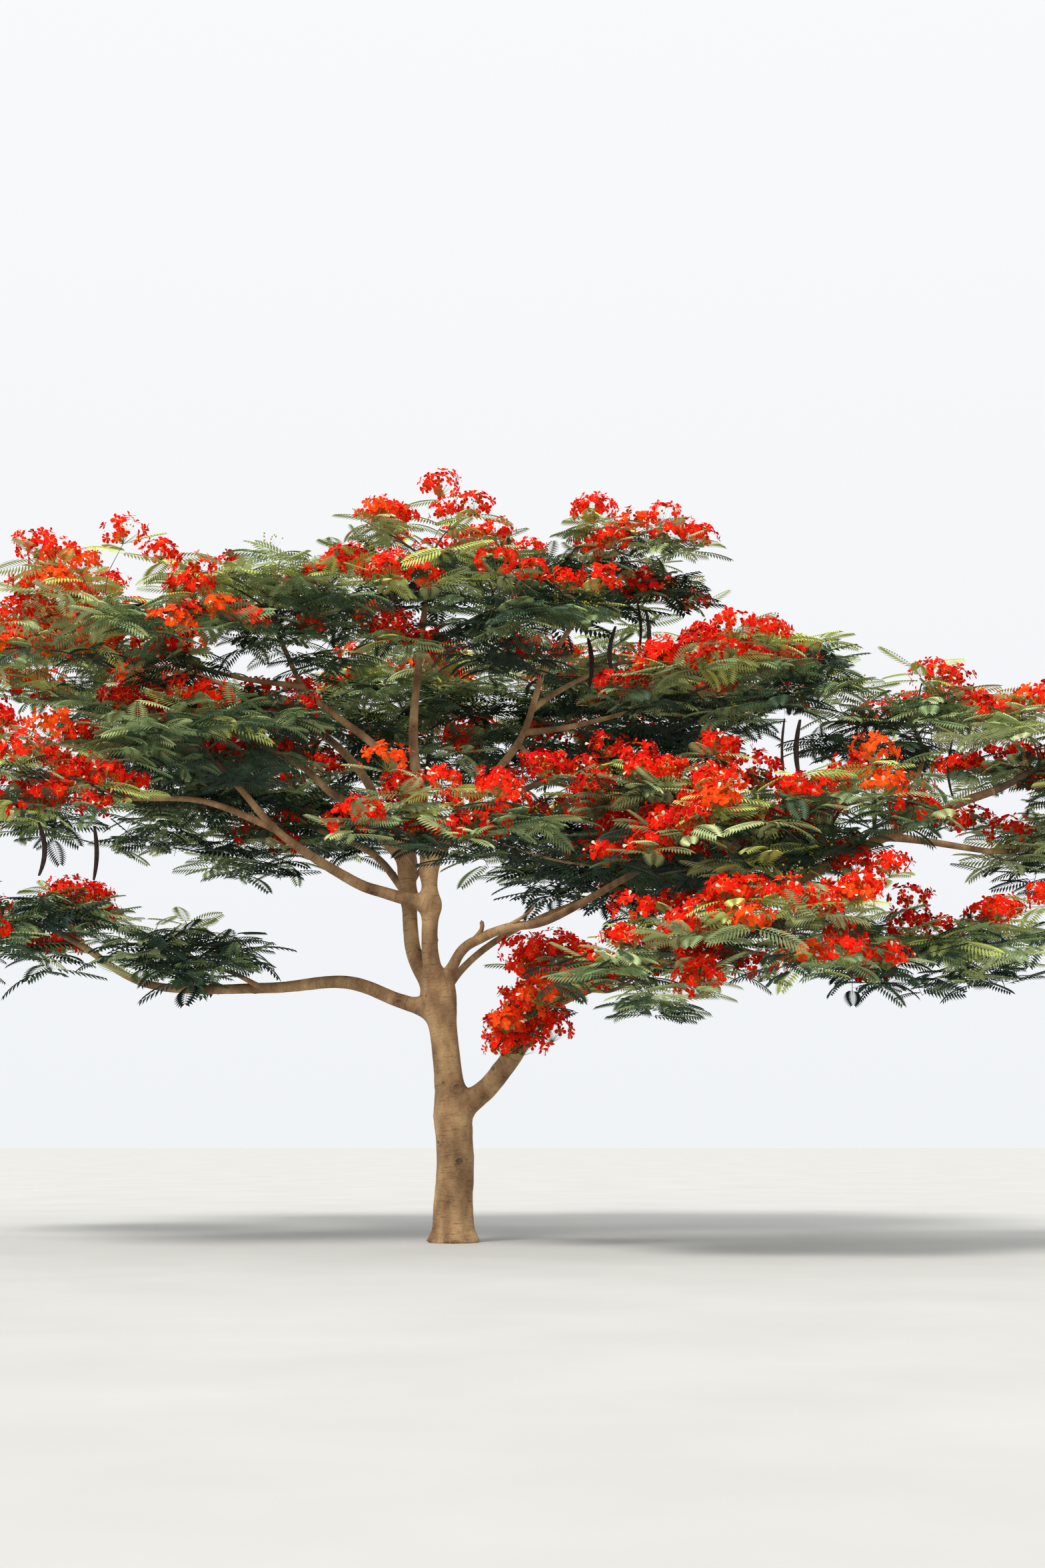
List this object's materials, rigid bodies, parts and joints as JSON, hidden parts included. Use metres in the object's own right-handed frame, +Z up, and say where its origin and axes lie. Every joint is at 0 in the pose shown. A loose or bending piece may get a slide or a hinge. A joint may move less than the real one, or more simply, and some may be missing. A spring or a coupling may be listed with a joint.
{
  "type": "flame tree",
  "caption": "Rooted flame tree: short leaning trunk forking at head height into long sinuous boughs, under a wide layered crown of feathery leaves and scarlet blossom.",
  "frame": {"origin": "middle of the flat cut under the trunk, at ground level", "axes": "+Z up; +X along the crown's longest span, to the right as the picture sees the tree; +Y away from the viewer"},
  "size_m": [14.0651, 9.5632, 8.0713],
  "materials": {
    "bark": "dry grey-brown bark, finely wrinkled across the limb",
    "foliage": "soft matte feathery leaves, grey-green",
    "blossom": "soft satin petals, scarlet to orange-red"
  },
  "bodies": {
    "root": {"trunk": "bark", "bough_front_leader": "bark", "bough_back_stem": "bark", "bough_low_right": "bark", "bough_low_left": "bark", "bough_right_bough": "bark", "bough_right_back": "bark", "bough_right_leader": "bark", "bough_mid_left": "bark", "bough_mid_left_fork": "bark", "bough_upper_left": "bark", "bough_upper_left_fork": "bark", "bough_back_left_high": "bark", "bough_stem_left": "bark", "bough_back_mid": "bark", "bough_back_left_low": "bark", "bough_crown_left": "bark", "bough_crown_right": "bark", "bough_front_bough": "bark", "bough_right_b": "bark", "bough_right_c": "bark", "bough_right_d": "bark", "bough_low_right_fork": "bark", "bough_riser": "bark", "bough_low_front": "bark", "bough_low_right_low": "bark", "bough_low_mid": "bark", "bough_front_bloom": "bark", "bough_right_front": "bark", "bough_low_left_spur": "bark", "foliage_low_left": "foliage", "foliage_low_left_spur": "foliage", "foliage_mid_left": "foliage", "foliage_mid_left_fork": "blossom", "foliage_upper_left": "foliage", "foliage_upper_left_fork": "blossom", "foliage_back_left_high": "blossom", "foliage_stem_left": "foliage", "foliage_front_leader": "foliage", "foliage_crown_left": "foliage", "foliage_crown_right": "foliage", "foliage_right_leader": "blossom", "foliage_right_b": "foliage", "foliage_right_c": "blossom", "foliage_right_d": "blossom", "foliage_back_stem": "foliage", "foliage_back_mid": "foliage", "foliage_back_left_low": "foliage", "foliage_right_bough": "blossom", "foliage_right_back": "foliage", "foliage_low_right": "blossom", "foliage_low_right_fork": "foliage", "foliage_riser": "foliage", "foliage_low_front": "blossom", "foliage_front_bloom": "blossom", "foliage_low_mid": "foliage", "foliage_low_right_low": "foliage", "foliage_front_bough": "blossom", "foliage_right_front": "blossom"}
  },
  "joints": []
}
